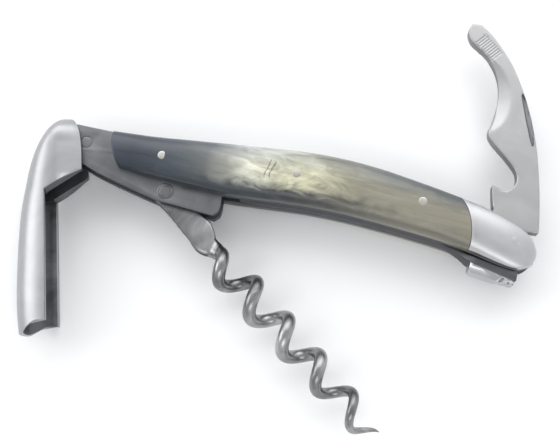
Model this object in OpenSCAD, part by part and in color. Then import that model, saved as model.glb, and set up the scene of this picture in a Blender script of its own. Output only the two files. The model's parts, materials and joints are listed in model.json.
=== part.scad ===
// Folding sommelier's corkscrew: a one-step lever, a worm and a foil-cutter blade, all
// hinged between two steel liners that carry horn scales and steel bolsters.
// Millimetres. The tool lies on its lower scale: +Z is up and z = 0 is the table. +X runs
// from the lever hinge to the blade hinge, and +Y points to the back of the handle.
// The origin is on the flat crown of the lower scale, under the middle pin.

/* [Handle] */
// Thickness of the whole handle over both scales
handle_t = 16; // [15.6:0.1:16.4]
// Thickness of each steel liner
liner_t = 1.6; // [1.4:0.05:1.7]
// Space between the liners, where the blade, the worm and the lever fold
gap = 3.4; // [3.3:0.05:3.5]
// Height of the scales' and bolsters' upright edge above the liner
edge_h = 1.2; // [0.9:0.1:1.4]
// Radius of the curved joint between scale and bolster
joint_r = 17.5; // [17:0.1:18]

/* [Springs] */
// Depth of the lever spring along the back
lever_spring_h = 3.0; // [2.6:0.1:3.4]
// Width of the flared head of the belly spring
head_w = 7.2; // [6.6:0.1:7.6]
// How far the faceted ornament stands out of the spring head
ornament_h = 1.1; // [0.8:0.1:1.2]

/* [Lever] */
// Width of the lever's channel outside
lever_w = 14; // [13.8:0.1:14.2]
// Thickness of the lever's walls
lever_wall = 1.2; // [1.1:0.05:1.3]
// Angle of the lever, from shut to where it stands here
lever_open = 72; // [71:0.5:73]

/* [Worm] */
// Angle of the worm's axis below the handle, where it stands here
worm_open = 34.5; // [34:0.25:35]
// Advance of one turn of the worm
pitch = 11.8; // [11.6:0.1:12]
// Radius of the wire's centre line in the first turns
coil_r = 3.5; // [3.3:0.1:3.55]
// Radius of the wire in the first turns
wire_r = 1.65; // [1.5:0.05:1.7]

/* [Blade] */
// Thickness of the blade
blade_t = 3.1; // [2.9:0.05:3.2]

/* [Pins] */
// Diameter of the lever's hinge pin
lever_pin_d = 3.0; // [2.8:0.1:3.2]
// Diameter of the worm's hinge pin
worm_pin_d = 4.2; // [4:0.1:4.3]
// Diameter of the blade's hinge pin
blade_pin_d = 2.4; // [2.2:0.1:2.8]
// Diameter of the pins that hold the scales
scale_pin_d = 2.1; // [1.9:0.1:2.3]
// Diameter of the hidden rivets in the springs and bolsters
rivet_d = 1.6; // [1.4:0.1:1.8]
// Radial running clearance of the hinged pieces on their pins
run_c = 0.04; // [0.02:0.01:0.08]

/* [Hidden] */

mid_z = handle_t / 2;
liner_in = mid_z + gap / 2;
liner_out = liner_in + liner_t;
liner_low = handle_t - liner_out;
reach = 70;
tang_t = gap - 0.2;
side_c = 0.1;

// Hinge axes and pins, seen from above
lever_axis = [-54.2, -3.25];
worm_axis = [-31.1, -10.9];
blade_axis = [55.3, -3.25];
scale_pin_at = [[-33.5, -3.2], [0, 0], [31.4, 0.6]];
bolster_rivet_at = [[48.5, -1.5], [58.2, -5.5]];
belly_rivet_at = [-9, -5.4];
lever_rivet_at = [-17, 2.9];

// Outline of the handle: back, belly and the ear under the scale's left half
back_pts = [[-54.2, 0.9], [-40, 1.5], [-25, 3.5], [-10, 5.6], [4, 7.2], [17, 7.3],
    [30, 6.0], [45, 3.9], [53, 1.8], [57.6, -0.2], [60.2, -2.4], [61.2, -5.0]];
belly_pts = [[-17, -8.5], [-8, -7.6], [4, -6.5], [14, -6.2], [26, -6.5], [36, -7.0],
    [44, -7.9], [51, -9.2], [56, -9.7], [58.8, -9.0], [60.6, -7.4], [61.2, -5.0]];
ear_corner_pts = [[-17, -8.5], [-16.8, -12.4], [-18.2, -14.1]];
ear_low_pts = [[-27.5, -13.8], [-31.5, -13.7], [-37.4, -12.7], [-44.5, -11.3], [-49, -10.3],
    [-51.5, -9.6], [-53.4, -8.9]];
// Lower edge of the scales over the ear, and of the bolsters
scale_low_pts = [[-50, -6.6], [-42, -8.0], [-34, -8.4], [-24, -8.5], [-17, -8.45],
    [-8, -7.6], [4, -6.4], [14, -6.1], [26, -6.4], [36, -6.9], [44, -7.7], [51, -9.0],
    [56, -9.6], [58.8, -8.9], [60.6, -7.4], [61.2, -5.0]];
// Round left end of the liners, and the arcs that end the scales
liner_end_r = 5.4;
joint_c = [27.2, -7];
nose_c = [-32.5, 2.2];
nose_r = 15.3;
// Height of the crown of scale and bolster above the table along the handle
crown_pts = [[-50, 14.6], [-40, 15.4], [-25, 16.1], [0, 16.3], [25, 16.2], [40, 15.7],
    [52, 14.8], [58, 13.6], [61.2, 12.4]];

// Points of one Catmull-Rom piece, and of a smooth line through hand-set points
function piece(a, b, c, d, n) = [for (i = [0 : n - 1]) let (t = i / n)
    0.5 * (2 * b + (c - a) * t + (2 * a - 5 * b + 4 * c - d) * t * t
        + (3 * b - a - 3 * c + d) * t * t * t)];
function smooth(p, n = 6) = [for (k = [0 : len(p) - 2])
    each piece(p[max(k - 1, 0)], p[k], p[k + 1], p[min(k + 2, len(p) - 1)], n),
    p[len(p) - 1]];
function flip(p) = [for (i = [len(p) - 1 : -1 : 0]) p[i]];
function arc(c, r, a0, a1, n = 12) = [for (i = [0 : n])
    let (a = a0 + (a1 - a0) * i / n) c + r * [cos(a), sin(a)]];

back_line = smooth(back_pts);
belly_line = smooth(belly_pts);
scale_low_line = smooth(scale_low_pts);
crown_line = smooth(crown_pts);
handle_outline = concat(back_line, flip([for (i = [0 : len(belly_line) - 2]) belly_line[i]]),
    smooth(ear_corner_pts, 5), ear_low_pts, arc(lever_axis, liner_end_r, 222, 131));

// A closed solid through sections that have the same number of points
module skin(sections) {
    n = len(sections[0]);
    m = len(sections);
    walls = [for (i = [0 : m - 2]) for (j = [0 : n - 1]) let (k = (j + 1) % n)
        each [[i * n + j, (i + 1) * n + j, (i + 1) * n + k],
            [i * n + j, (i + 1) * n + k, i * n + k]]];
    ends = [[for (j = [0 : n - 1]) j], [for (j = [n - 1 : -1 : 0]) (m - 1) * n + j]];
    polyhedron(points = [for (s = sections) each s], faces = concat(walls, ends),
        convexity = 6);
}

module plate(outline, z0, z1) translate([0, 0, z0]) linear_extrude(z1 - z0) polygon(outline);
module pin(at, d, z0, z1) translate([at[0], at[1], z0]) cylinder(h = z1 - z0, d = d, $fn = 48);
module bore(at, d, z0 = -10, z1 = handle_t + 10) pin(at, d, z0, z1);
module to_lower_side() translate([0, 0, handle_t]) mirror([0, 0, 1]) children();

// ---- Liners -------------------------------------------------------------------------
module liner(z0) difference() {
    plate(handle_outline, z0, z0 + liner_t);
    bore(lever_axis, lever_pin_d + 2 * run_c);
    bore(worm_axis, worm_pin_d);
    bore(blade_axis, blade_pin_d);
    for (p = scale_pin_at) bore(p, scale_pin_d);
    for (p = bolster_rivet_at) bore(p, rivet_d);
    bore(belly_rivet_at, rivet_d);
    bore(lever_rivet_at, rivet_d);
}
module upper_liner() color("#8f9296") liner(liner_in);
module lower_liner() color("#8f9296") liner(liner_low);

// ---- Scales and bolsters ------------------------------------------------------------
// The side of the handle above the upper liner, domed across and along
dome_rows = 12;
function dome_section(x) = let (
    y0 = lookup(x, scale_low_line), y1 = lookup(x, back_line) - 0.05,
    c = (y0 + y1) / 2, w = (y1 - y0) / 2, e = liner_out + edge_h, h = lookup(x, crown_line) - e)
    concat([[x, y0, liner_out]],
        [for (i = [0 : dome_rows]) let (a = 180 - 180 * i / dome_rows, u = cos(a))
            [x, c + w * sign(u) * pow(abs(u), 0.9), e + h * pow(sin(a), 0.8)]],
        [[x, y1, liner_out]]);
dome_x = concat([for (x = [-50 : 4 : 46]) x], [50, 53, 55.5, 57.5, 59, 60.1, 60.8]);
module dome() intersection() {
    skin([for (x = dome_x) dome_section(x)]);
    translate([-reach, -reach, 0]) cube([2 * reach, 2 * reach, handle_t]);
}
module joint_cylinder() translate([joint_c[0], joint_c[1], 0])
    cylinder(h = reach, r = joint_r, $fn = 96);
module scale_zone() {
    translate([nose_c[0], nose_c[1], 0]) cylinder(h = reach, r = nose_r, $fn = 96);
    translate([nose_c[0], -reach, 0]) cube([joint_c[0] - nose_c[0], 2 * reach, reach]);
    joint_cylinder();
}
module scale() difference() {
    intersection() {
        dome();
        scale_zone();
    }
    for (p = scale_pin_at) bore(p, scale_pin_d);
}
rivet_top = liner_out + 2;
module bolster() difference() {
    intersection() {
        dome();
        translate([joint_c[0], -reach, 0]) cube([reach, 2 * reach, reach]);
    }
    joint_cylinder();
    bore(blade_axis, blade_pin_d);
    for (p = bolster_rivet_at) bore(p, rivet_d, 0, rivet_top);
}
module upper_scale() color("#8d8a6c") scale();
module lower_scale() color("#8d8a6c") to_lower_side() scale();
module upper_bolster() color("#c9cbce") bolster();
module lower_bolster() color("#c9cbce") to_lower_side() bolster();

// ---- Springs ------------------------------------------------------------------------
// The belly spring lies under the blade, is riveted at its left end and carries a head
spring_end_x = -13;
head_x1 = 57.7;
// The turning blade's tang and heel clear these radii about the blade's hinge
tang_sweep_r = 6.6;
heel_sweep_r = 8.1;
spring_top_pts = [[spring_end_x, -4.9], [0, -3.9], [15, -3.6], [28, -4.0], [36, -4.9],
    [42, -5.9], [48, -7.6]];
head_corner = [46, -10.2];
head_tip = [head_x1, -12.4];
head_top_pts = [[38, -7.3], [44, -8.15], [51, -9.4], [56, -9.9], [head_x1, -9.6]];
head_side_pts = [[40, 1.5], [43.5, 2.2], [46.5, head_w / 2], [head_x1, head_w / 2]];
neck_low_pts = [[26, -6.5], [36, -7.1], [41, -8.2], [44, -9.3], head_corner];
spring_low_line = concat([for (p = belly_line) if (p[0] > spring_end_x && p[0] < neck_low_pts[0][0]) p],
    smooth(neck_low_pts), [head_tip]);
module belly_spring() color("#9a9da1") {
    difference() {
        union() {
            plate(concat(smooth(spring_top_pts), [[head_x1, spring_top_pts[6][1]]],
                flip(spring_low_line), [[spring_end_x, -7.9]]), mid_z - tang_t / 2, mid_z + tang_t / 2);
            intersection() {
                plate(concat(head_top_pts, [head_tip, head_corner, [44, -9.3], [41, -8.2]]),
                    mid_z - head_w / 2, mid_z + head_w / 2);
                translate([0, 0, mid_z]) rotate([90, 0, 0]) linear_extrude(reach)
                    polygon(concat(head_side_pts, flip([for (p = head_side_pts) [p[0], -p[1]]])));
            }
        }
        bore(blade_axis, 2 * tang_sweep_r);
        bore(blade_axis, 2 * heel_sweep_r, mid_z - gap / 2, mid_z + gap / 2);
        bore(belly_rivet_at, rivet_d);
    }
}
// A wedge under the head, cut in a row of bevelled facets and deeper towards the corner
facet_n = 3;
wedge_rise = 0.12;
function head_y(x) = lookup(x, [head_corner, head_tip]);
module spring_ornament() color("#dfe1e4") {
    x0 = head_corner[0] + 0.1;
    dx = (head_x1 - 0.3 - x0) / facet_n;
    w = head_w / 2 - 0.4;
    skin([for (i = [0 : facet_n * 2]) let (x = x0 + dx * i / 2, y = head_y(x),
        full = ornament_h + (head_x1 - x) * wedge_rise, d = full * (i % 2 == 0 ? 0.8 : 1),
        b = i % 2 == 0 ? w * 0.86 : w)
        [[x, y, mid_z + b], [x, y, mid_z - b], [x, y - d * 0.6, mid_z - b],
         [x, y - d, mid_z - b * 0.4], [x, y - d, mid_z + b * 0.4], [x, y - d * 0.6, mid_z + b]]]);
}
// The lever spring fills the back from the lever's tang to the tip of the shut blade
lever_spring_x = [-49.4, -7];
module lever_spring() color("#9a9da1") {
    top = [for (p = back_line) if (p[0] > lever_spring_x[0] && p[0] < lever_spring_x[1]) p];
    difference() {
        plate(concat(top, flip([for (p = top) p - [0, lever_spring_h]])),
            mid_z - gap / 2, mid_z + gap / 2);
        bore(lever_rivet_at, rivet_d);
    }
}

// ---- Lever --------------------------------------------------------------------------
// Drawn shut, about its own hinge, with the channel's open side up: then it is turned open
cap_pts = [[-5.2, -2.5], [-6.8, -4.0], [-7.2, -5.8], [-6.4, -7.6], [-3.2, -10.8], [2.2, -13.8]];
spine_low_pts = [[-3.2, -10.8], [2.2, -13.8], [6, -15.0], [10.3, -15.9], [18.4, -17.3],
    [32, -18.1], [42, -18.1], [49, -17.6]];
end_pts = [[47.5, -16.9], [47.2, -15.2], [45.8, -13.7], [44.9, -12], [45.2, -9.5]];
cheek_pts = [[12.6, -9.8], [7.6, -0.9], [2.8, -0.9], [-1.3, -1.2], [-3.6, -1.7]];
channel_x0 = 13;
lever_hw = lever_w / 2;
slot_hw = gap / 2 + liner_t + side_c;
inner_hw = lever_hw - lever_wall;
spine_t = 1.4;
ridge_y = -7;
cheek_hw = slot_hw + 1.3;
spine_line = smooth(spine_low_pts);
// How far the spine's corners step in, outside and inside
spine_step = 1.6;
corner_r = 2.4;
function spine_y(x) = lookup(x, spine_line);
// The cap's points move in under the cap only, by a share that grows below its brow
brow_y = -3;
function cap_share(p) = max(0, min(1, (brow_y - p[1]) / 5));
// Side outline of the lever with its spine drawn in by an inset
function lever_outline(inset) = concat(
    [for (p = smooth(cap_pts)) p + inset * cap_share(p) * [0.75, 0.65]],
    [for (x = [6 : 4 : 46]) [x, spine_y(x) + inset]], smooth(end_pts, 4), cheek_pts);
function channel_side(inset) = concat(
    [for (x = [channel_x0 : 4 : 49]) [x, spine_y(x) + inset]], [[49.5, 3], [channel_x0, 3]]);
// Takes the lever's cheeks in towards the liners, above the ridge
module cheek_taper() rotate([90, 0, 90]) translate([0, 0, -20]) linear_extrude(80)
    polygon([[ridge_y, lever_hw], [-0.5, cheek_hw], [2, cheek_hw], [2, lever_hw + 1],
        [ridge_y, lever_hw + 1]]);
module lever_shut() difference() {
    union() {
        plate(lever_outline(0), -lever_hw + spine_step, lever_hw - spine_step);
        plate(lever_outline(spine_step * 0.6), -lever_hw, lever_hw);
    }
    cheek_taper();
    mirror([0, 0, 1]) cheek_taper();
    // the channel
    plate(channel_side(spine_t), -inner_hw + corner_r, inner_hw - corner_r);
    plate(channel_side(spine_t + corner_r), -inner_hw, inner_hw);
    // the slot for the liners
    plate(slot_outline, -slot_hw, slot_hw);
}
slot_back = smooth([[-5.3, -4.2], [-5.5, -6.0], [-4.2, -8.1], [-0.8, -10.8], [5.9, -13.5],
    [channel_x0, -15.0]]);
slot_outline = concat(slot_back, [[channel_x0, 8], [-10, 8], [-10, -1]]);
module turn_open() translate([lever_axis[0], lever_axis[1], mid_z])
    rotate(-lever_open) children();
module lever_shell() color("#b9bbbe") turn_open() lever_shut();
tang_eye_r = 4.3;
tang_outline = concat(arc([0, 0], tang_eye_r, -48, 178, 16),
    [for (p = slot_back) if (p[0] < 5.2 && p[1] < -4) p]);
module lever_tang() color("#a9acb0") turn_open() difference() {
    plate(tang_outline, -tang_t / 2, tang_t / 2);
    bore([0, 0], lever_pin_d + 2 * run_c);
}
module lever_pin() color("#a5a8ab") pin(lever_axis, lever_pin_d, liner_low, liner_out);

// ---- Worm ---------------------------------------------------------------------------
// Drawn with the hinge at the origin and the axis along +X, then turned
valley_x = 26;
coil_x0 = 20;
coil_x1 = 78.3;
coil_offset = -1.15;
function coil_radius(x) = lookup(x, [[coil_x0, 0.9], [23, coil_r * 0.72], [26, coil_r], [38, coil_r],
    [50, coil_r * 0.92], [60, coil_r * 0.86], [74, coil_r * 0.84], [coil_x1, coil_r * 0.5]]);
function coil_wire(x) = lookup(x, [[coil_x0, wire_r * 0.94], [24, wire_r], [56, wire_r],
    [61.5, wire_r * 0.86], [67, wire_r * 0.8], [73.5, wire_r * 0.63], [77, wire_r * 0.33],
    [coil_x1, 0.12]]);
function coil_at(x) = let (a = 360 * (x - valley_x) / pitch, r = coil_radius(x))
    [x, coil_offset - r * cos(a), -r * sin(a)];
function unit(v) = v / norm(v);
coil_sides = 10;
coil_rings = 84;
function coil_ring(x) = let (p = coil_at(x), t = unit(coil_at(x + 0.05) - coil_at(x - 0.05)),
    n = unit(cross(t, [1, 0, 0])), b = cross(t, n), r = coil_wire(x))
    [for (j = [0 : coil_sides - 1]) let (a = 360 * j / coil_sides) p + r * (cos(a) * n + sin(a) * b)];
worm_tang_pts = [[0, -3.3], [5, -3.1], [9.8, -3.3], [13.3, -3.3], [16, -3.0], [18.5, -2.1],
    [20.5, -1.6], [22.2, -1.1], [22.7, 0.2], [22.5, 1.4], [21.2, 2.1], [19.1, 2.5], [17, 2.9],
    [15.3, 3.2], [12.5, 3.45], [9.8, 3.1], [5, 3.1], [0, 3.3]];
worm_eye_r = 3.3;
worm_pin_proud = 0.12;
module worm() color("#85878a") translate([worm_axis[0], worm_axis[1], mid_z]) rotate(-worm_open) {
    difference() {
        plate(concat(smooth(worm_tang_pts, 3), arc([0, 0], worm_eye_r, 96, 264)),
            -tang_t / 2, tang_t / 2);
        bore([0, 0], worm_pin_d + 2 * run_c);
    }
    skin([for (i = [0 : coil_rings]) coil_ring(coil_x0 + (coil_x1 - coil_x0) * i / coil_rings)]);
}
module worm_pin() color("#9c9fa2")
    pin(worm_axis, worm_pin_d, liner_low - worm_pin_proud, liner_out + worm_pin_proud);

// ---- Blade --------------------------------------------------------------------------
spine_pts = [[58.9, 1.1], [60.6, 1.2], [61.1, 1.9], [60.2, 8], [58.8, 15], [56.4, 24],
    [52.4, 34], [46.8, 43.6], [40.6, 50.4], [36.6, 53.2]];
edge_pts = [[34.3, 52.8], [33.8, 50.8], [35.3, 48], [40.2, 44.6], [43.6, 39.6], [45, 33.6],
    [44.7, 28], [44.1, 24.6], [45.4, 22.2], [50, 18.4], [52.9, 15.4], [53.3, 12.4], [51.2, 10.1],
    [49, 10.6], [47.9, 11], [48, 9.2], [49.2, 4.2]];
nick_at = [53.1, 29.6];
nick_len = 12;
nick_r = 3.5;
nick_depth = 0.5;
heel_r = 4.3;
module blade() color("#c4c6c9") difference() {
    plate(concat(smooth(spine_pts, 4), smooth(edge_pts, 4),
        arc(blade_axis, 5.6, 186, 285, 10), arc(blade_axis, heel_r, 297, 420, 12)),
        mid_z - blade_t / 2, mid_z + blade_t / 2);
    bore(blade_axis, blade_pin_d + 2 * run_c);
    // nail nick
    translate([nick_at[0], nick_at[1], mid_z + blade_t / 2 + nick_r - nick_depth])
        rotate([90, 0, -20]) cylinder(h = nick_len, r = nick_r, center = true, $fn = 48);
}
blade_pin_top = 14.1;
module blade_pin() color("#c9cbce")
    pin(blade_axis, blade_pin_d, handle_t - blade_pin_top, blade_pin_top);

// ---- Pins and rivets ----------------------------------------------------------------
scale_pin_top = [15.3, 15.98, 15.6];
module scale_pins() for (i = [0 : 2])
    pin(scale_pin_at[i], scale_pin_d, liner_in, scale_pin_top[i]);
module upper_scale_pins() color("#d8d8d4") scale_pins();
module lower_scale_pins() color("#d8d8d4") to_lower_side() scale_pins();
module bolster_rivets() for (p = bolster_rivet_at) pin(p, rivet_d, liner_in, rivet_top);
module upper_bolster_rivets() color("#a5a8ab") bolster_rivets();
module lower_bolster_rivets() color("#a5a8ab") to_lower_side() bolster_rivets();
module belly_spring_rivet() color("#a5a8ab")
    pin(belly_rivet_at, rivet_d, liner_low, liner_out);
module lever_spring_rivet() color("#a5a8ab")
    pin(lever_rivet_at, rivet_d, liner_low, liner_out);

upper_liner();
lower_liner();
belly_spring();
spring_ornament();
lever_spring();
upper_scale();
lower_scale();
upper_bolster();
lower_bolster();
lever_shell();
lever_tang();
lever_pin();
worm();
worm_pin();
blade();
blade_pin();
upper_scale_pins();
lower_scale_pins();
upper_bolster_rivets();
lower_bolster_rivets();
belly_spring_rivet();
lever_spring_rivet();
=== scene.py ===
"""Looks of a folding lever corkscrew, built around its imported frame.

Builders below work in millimetres, and new_mesh() turns them into Blender's metres. Handle
parts lie along X with the table at z = 0; lever and worm are drawn along their own axis
about their hinge and then turned to where they stand at rest."""
import json
import math

import bmesh
import bpy
import numpy as np
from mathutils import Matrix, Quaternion, Vector, geometry
from mathutils.bvhtree import BVHTree


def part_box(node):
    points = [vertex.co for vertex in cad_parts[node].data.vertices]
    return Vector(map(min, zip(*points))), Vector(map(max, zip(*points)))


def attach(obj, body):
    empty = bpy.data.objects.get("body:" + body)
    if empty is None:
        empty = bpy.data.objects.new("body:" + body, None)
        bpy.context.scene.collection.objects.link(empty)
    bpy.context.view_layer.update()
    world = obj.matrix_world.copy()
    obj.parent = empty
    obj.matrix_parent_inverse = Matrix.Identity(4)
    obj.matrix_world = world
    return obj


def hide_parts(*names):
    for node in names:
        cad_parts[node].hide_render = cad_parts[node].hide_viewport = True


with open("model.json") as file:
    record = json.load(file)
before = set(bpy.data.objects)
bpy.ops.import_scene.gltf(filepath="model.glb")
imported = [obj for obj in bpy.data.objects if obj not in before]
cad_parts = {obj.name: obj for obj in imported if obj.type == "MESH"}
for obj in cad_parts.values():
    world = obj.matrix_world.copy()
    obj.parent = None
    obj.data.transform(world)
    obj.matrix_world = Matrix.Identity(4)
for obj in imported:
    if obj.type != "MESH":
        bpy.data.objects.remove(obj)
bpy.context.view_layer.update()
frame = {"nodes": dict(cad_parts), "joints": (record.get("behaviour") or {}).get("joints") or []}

MM = 0.001
HINGE = {j["child"]: np.array(j["pos_m"]) / MM for j in frame["joints"]}
LOW = {n: np.array(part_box(n)[0]) / MM for n in frame["nodes"]}
HIGH = {n: np.array(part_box(n)[1]) / MM for n in frame["nodes"]}
MID_Z = (LOW["lower_liner"][2] + HIGH["upper_liner"][2]) / 2
LINER_TOP = HIGH["upper_liner"][2]
HANDLE_TOP = HIGH["upper_scale"][2]


# ---- Curves and meshes -----------------------------------
def smooth(points, n=8):
    """A Catmull-Rom line through given points."""
    p = np.array(points, float)
    p = np.vstack([p[0], p, p[-1]])
    t = np.linspace(0, 1, n, endpoint=False)[:, None]
    out = []
    for a, b, c, d in zip(p, p[1:], p[2:], p[3:]):
        cubic = 2 * a - 5 * b + 4 * c - d, 3 * b - a - 3 * c + d
        out.append(0.5 * (2 * b + (c - a) * t + cubic[0] * t**2 + cubic[1] * t**3))
    return np.vstack(out + [p[-1:]])


def graph(points, soft=True):
    """y as a function of x through points; soft draws it without corners."""
    p = smooth(points) if soft else np.array(points, float)
    return lambda x: np.interp(x, p[:, 0], p[:, 1])


def ramp(x, low, high):
    """0 below low, 1 above high and a soft step between."""
    t = np.clip((x - low) / (high - low), 0, 1)
    return t * t * (3 - 2 * t)


def new_mesh(name, verts, faces):
    mesh = bpy.data.meshes.new(name)
    mesh.from_pydata((np.array(verts) * MM).tolist(), [], faces)
    return mesh


def tidy(mesh, bevel=0.0, sharp=34.0, weld=1e-7):
    """Welds the mesh, turns its faces outwards, rounds its sharp edges and smooths the rest."""
    bm = bmesh.new()
    bm.from_mesh(mesh)
    bmesh.ops.remove_doubles(bm, verts=bm.verts, dist=weld)
    bmesh.ops.dissolve_degenerate(bm, edges=bm.edges, dist=weld)
    bmesh.ops.recalc_face_normals(bm, faces=bm.faces)
    if bevel:
        flat = math.radians(0.4)
        bmesh.ops.dissolve_limit(bm, angle_limit=flat, verts=bm.verts, edges=bm.edges)
        limit = math.radians(sharp)
        edges = [e for e in bm.edges if e.is_manifold and e.calc_face_angle(0) > limit]
        bmesh.ops.bevel(bm, geom=edges, offset=bevel * MM, segments=3, profile=0.6,
                        affect="EDGES", clamp_overlap=True)
    bm.to_mesh(mesh)
    bm.free()
    mesh.shade_smooth()
    mesh.set_sharp_from_angle(angle=math.radians(sharp))


def place(name, mesh, material, body, slot, *nodes, inner=None, is_inner=None):
    """Makes a mesh the piece that stands for CAD nodes. The inner material goes to faces
    already marked 1, or to those for which is_inner(centre in millimetres, normal) holds."""
    piece = bpy.data.objects.new(name, mesh)
    bpy.context.scene.collection.objects.link(piece)
    marks = [face.material_index for face in mesh.polygons]
    mesh.materials.clear()
    mesh.materials.append(material)
    if inner:
        mesh.materials.append(inner)
        for face, mark in zip(mesh.polygons, marks):
            if is_inner:
                mark = is_inner(np.array(face.center) / MM, np.array(face.normal))
            face.material_index = int(mark)
    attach(piece, body)
    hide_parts(*nodes)
    return piece


def loft(rings, seen_along=None):
    """Faces of closed rings joined in a row, with both ends shut. An end that isn't convex is
    filled as it looks along the axis seen_along."""
    rings = np.array(rings)
    m, n = rings.shape[:2]
    faces = [[i * n + j, (i + 1) * n + j, (i + 1) * n + (j + 1) % n, i * n + (j + 1) % n]
             for i in range(m - 1) for j in range(n)]
    if seen_along is None:
        faces += [list(range(n))[::-1], [(m - 1) * n + j for j in range(n)]]
    else:
        for i in (0, m - 1):
            flat = np.delete(rings[i], seen_along, axis=1)
            fill = geometry.tessellate_polygon([[Vector((*p, 0)) for p in flat]])
            faces += [[i * n + k for k in triangle] for triangle in fill]
    return rings.reshape(-1, 3), faces


def lathe(profile, at, sides=64):
    """A round piece about an upright axis, from (radius, height) points."""
    turns = [2 * math.pi * k / sides for k in range(sides)]
    rings = [[(at[0] + r * math.cos(a), at[1] + r * math.sin(a), z) for a in turns]
             for r, z in profile]
    return loft(rings)


def joined(parts):
    """One mesh's points and faces from several."""
    verts, faces = [], []
    for v, f in parts:
        faces += [[k + len(verts) for k in face] for face in f]
        verts += [tuple(p) for p in v]
    return verts, faces


def turned(points, body, degrees):
    """Points drawn along +X about a hinge, turned about it to their place at rest."""
    a = math.radians(degrees)
    p = np.array(points)
    x = p[:, 0] * math.cos(a) - p[:, 1] * math.sin(a) + HINGE[body][0]
    y = p[:, 0] * math.sin(a) + p[:, 1] * math.cos(a) + HINGE[body][1]
    return np.column_stack([x, y, p[:, 2] + MID_Z])


def bore(piece, at, radius, depth=20.0):
    """Cuts an upright round hole through a piece."""
    verts, faces = lathe([(radius, MID_Z - depth), (radius, MID_Z + depth)], at, 48)
    cutter = bpy.data.objects.new("cutter", new_mesh("cutter", verts, faces))
    bpy.context.scene.collection.objects.link(cutter)
    cut = piece.modifiers.new("bore", "BOOLEAN")
    cut.operation, cut.solver, cut.object = "DIFFERENCE", "EXACT", cutter
    bpy.context.view_layer.update()
    shaped = piece.evaluated_get(bpy.context.evaluated_depsgraph_get())
    mesh = bpy.data.meshes.new_from_object(shaped)
    piece.modifiers.clear()
    piece.data = mesh
    bpy.data.objects.remove(cutter)


# ---- Materials -------------------------------------------
class Finish:
    """A procedural material: a Principled shader and the nodes that feed it."""

    def __init__(self, name, **values):
        self.material = bpy.data.materials.new(name)
        self.material.use_nodes = True
        self.nodes = self.material.node_tree.nodes
        self.links = self.material.node_tree.links
        self.shader = self.nodes["Principled BSDF"]
        for key, value in values.items():
            self.shader.inputs[key.replace("_", " ")].default_value = value
        self.place = self.add("ShaderNodeTexCoord").outputs["Object"]

    def add(self, kind, inputs=(), **settings):
        node = self.nodes.new(kind)
        for key, value in settings.items():
            setattr(node, key, value)
        for key, value in dict(inputs).items():
            if isinstance(value, bpy.types.NodeSocket):
                self.links.new(value, node.inputs[key])
            else:
                node.inputs[key].default_value = value
        return node

    def stretched(self, scale, turn=0.0):
        """Object coordinates in millimetres, scaled along each axis."""
        inputs = {"Vector": self.place, "Scale": [s / MM for s in scale],
                  "Rotation": (0, 0, math.radians(turn))}
        return self.add("ShaderNodeMapping", inputs).outputs[0]

    def noise(self, scale, turn=0.0, detail=4.0, rough=0.55, warp=0.0):
        inputs = {"Vector": self.stretched(scale, turn), "Scale": 1.0, "Detail": detail,
                  "Roughness": rough, "Distortion": warp}
        return self.add("ShaderNodeTexNoise", inputs).outputs["Fac"]

    def math(self, operation, a, b=0.0):
        return self.add("ShaderNodeMath", {0: a, 1: b}, operation=operation).outputs[0]

    def span(self, value, low, high, to_low=0.0, to_high=1.0):
        inputs = {"Value": value, "From Min": low, "From Max": high, "To Min": to_low,
                  "To Max": to_high}
        return self.add("ShaderNodeMapRange", inputs).outputs[0]

    def ramp(self, value, stops):
        node = self.add("ShaderNodeValToRGB", {"Fac": value})
        elements = node.color_ramp.elements
        while len(elements) < len(stops):
            elements.new(0.5)
        for element, (at, color) in zip(elements, stops):
            element.position = at
            element.color = (*color, 1)
        return node.outputs["Color"]

    def mix(self, factor, a, b, blend="MIX"):
        node = self.add("ShaderNodeMix", data_type="RGBA", blend_type=blend)
        for socket, value in ((node.inputs[0], factor), (node.inputs[6], a), (node.inputs[7], b)):
            if isinstance(value, bpy.types.NodeSocket):
                self.links.new(value, socket)
            else:
                socket.default_value = value if isinstance(value, float) else (*value, 1)
        return node.outputs[2]

    def color(self, output):
        self.links.new(output, self.shader.inputs["Base Color"])

    def roughness(self, output):
        self.links.new(output, self.shader.inputs["Roughness"])

    def bump(self, height, strength, depth_mm):
        inputs = {"Height": height, "Strength": strength, "Distance": depth_mm * MM}
        normal = self.add("ShaderNodeBump", inputs).outputs[0]
        self.links.new(normal, self.shader.inputs["Normal"])


def steel(name, tone, rough, grain=(0.12, 6.0, 6.0), turn=0.0, grime=0.25, spread=0.08):
    """Brushed satin steel: fine grain along one direction, cloudy wear and darker smears."""
    f = Finish(name, Metallic=1.0)
    brushed = f.noise(grain, turn, detail=6.0, rough=0.7)
    cloud = f.noise((0.09, 0.09, 0.09), detail=5.0, rough=0.6, warp=0.6)
    fine = f.noise((1.6, 1.6, 1.6), detail=3.0)
    dark = tuple(c * (1 - grime) for c in tone)
    f.color(f.mix(f.span(cloud, 0.38, 0.66), dark, tone))
    worn = f.math("MULTIPLY_ADD", cloud, spread)
    worn.node.inputs[2].default_value = rough - spread / 2
    speckled = f.math("MULTIPLY_ADD", brushed, spread)
    f.links.new(worn, speckled.node.inputs[2])
    f.roughness(f.math("SUBTRACT", speckled, spread / 2))
    f.bump(f.math("ADD", brushed, f.math("MULTIPLY", fine, 0.35)), 0.18, 0.012)
    return f.material


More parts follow.
